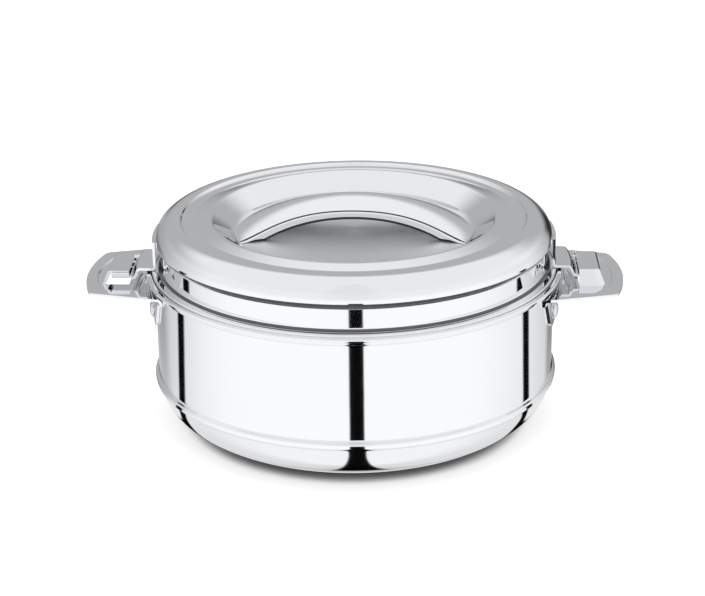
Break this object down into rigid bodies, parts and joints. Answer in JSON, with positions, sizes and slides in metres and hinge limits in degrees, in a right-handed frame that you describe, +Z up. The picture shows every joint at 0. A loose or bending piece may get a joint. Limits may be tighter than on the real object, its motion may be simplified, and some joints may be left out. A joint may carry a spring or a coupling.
{
  "type": "insulated chapati casserole",
  "caption": "Round double-walled steel pot with side handles, and an insulated lid with an arched grip that locks under the handles with a twist and lifts off.",
  "frame": {"origin": "centre of the pot's standing ring, on the table", "axes": "+Z up along the pot's axis, +X through the handles, and the front is -Y; the lid turns anticlockwise about +Z to open"},
  "size_m": [0.3252, 0.2522, 0.1404],
  "materials": {
    "mirror_steel": "polished",
    "liner_steel": "satin",
    "pressed_steel": "polished",
    "rivet_steel": "satin",
    "silicone": "matte",
    "foam": "matte",
    "plug_plastic": "matte"
  },
  "bodies": {
    "pot": {"outer_shell": "mirror_steel", "inner_liner": "liner_steel", "pot_insulation": "foam", "fill_plug": "plug_plastic", "right_handle": "pressed_steel", "left_handle": "pressed_steel", "right_handle_rivets": "rivet_steel", "left_handle_rivets": "rivet_steel", "right_rivet_washers": "rivet_steel", "left_rivet_washers": "rivet_steel"},
    "seat_ring": {"seat_ring": "silicone"},
    "lid": {"lid_cover": "mirror_steel", "lid_inner_pan": "liner_steel", "lid_insulation": "foam", "lid_fill_plug": "plug_plastic", "lid_grip": "pressed_steel", "right_lock_ear": "pressed_steel", "left_lock_ear": "pressed_steel"}
  },
  "joints": [
    {"name": "lid_twist", "type": "hinge", "parent": "pot", "child": "seat_ring", "pos_m": [0, 0, 0.0938], "axis": [0, 0, 1], "range_deg": [0, 22]},
    {"name": "lid_lift", "type": "slide", "parent": "seat_ring", "child": "lid", "axis": [0, 0, 1], "range_m": [0, 0.12]}
  ]
}
